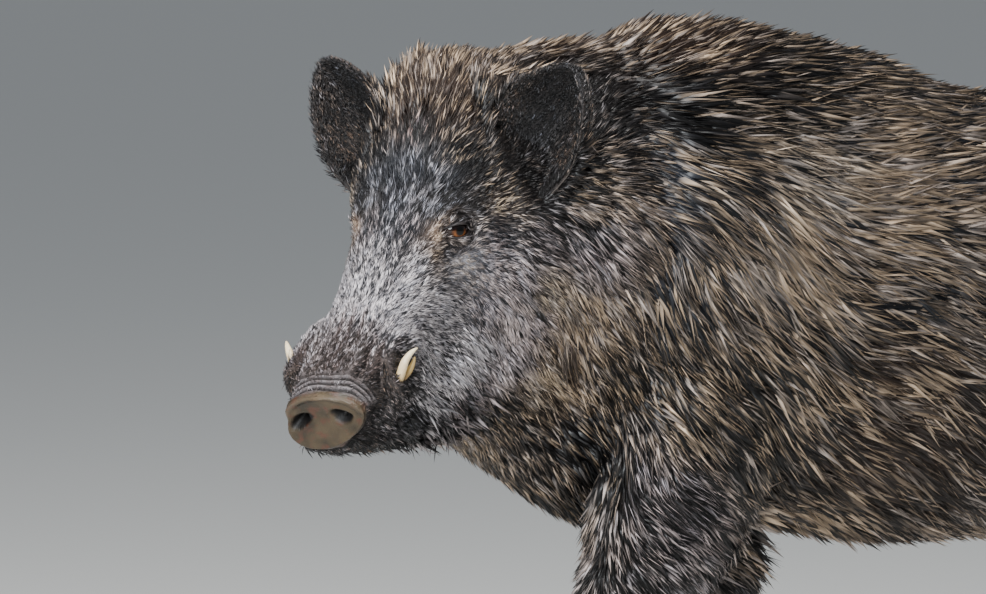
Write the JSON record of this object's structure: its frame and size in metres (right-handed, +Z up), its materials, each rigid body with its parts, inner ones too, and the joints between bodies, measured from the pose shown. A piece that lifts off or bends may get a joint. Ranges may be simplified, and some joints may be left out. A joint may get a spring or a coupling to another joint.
{
  "type": "wild boar",
  "caption": "Life-size standing wild boar in a bristly winter coat, mid-step, its head turned to its left and lowered; a still display model that rests on its hooves.",
  "frame": {"origin": "on the floor, under the middle of the bounding box", "axes": "+X the way the trunk points (the boar's front), +Y its left, +Z up"},
  "size_m": [1.3768, 0.3658, 0.9226],
  "materials": {
    "coat": "bristly hair, near-black at its roots with buff tips",
    "snout_skin": "moist bare skin",
    "eye": "wet gloss over an amber-brown iris",
    "ivory": "satin, stained brown near the gum",
    "hoof": "worn horn with growth rings"
  },
  "bodies": {
    "root": {"trunk": "coat", "neck": "coat", "head": "coat", "tail": "coat", "ear_left": "coat", "ear_right": "coat", "snout_disc": "snout_skin", "eye_left": "eye", "eye_right": "eye", "tusk_lower_left": "ivory", "tusk_lower_right": "ivory", "tusk_upper_left": "ivory", "tusk_upper_right": "ivory", "foreleg_left": "coat", "foreleg_right": "coat", "hindleg_left": "coat", "hindleg_right": "coat", "hoof_fore_left_outer": "hoof", "hoof_fore_left_inner": "hoof", "hoof_fore_right_outer": "hoof", "hoof_fore_right_inner": "hoof", "hoof_hind_left_outer": "hoof", "hoof_hind_left_inner": "hoof", "hoof_hind_right_outer": "hoof", "hoof_hind_right_inner": "hoof", "dewclaw_fore_left_outer": "hoof", "dewclaw_fore_left_inner": "hoof", "dewclaw_fore_right_outer": "hoof", "dewclaw_fore_right_inner": "hoof", "dewclaw_hind_left_outer": "hoof", "dewclaw_hind_left_inner": "hoof", "dewclaw_hind_right_outer": "hoof", "dewclaw_hind_right_inner": "hoof"}
  },
  "joints": []
}
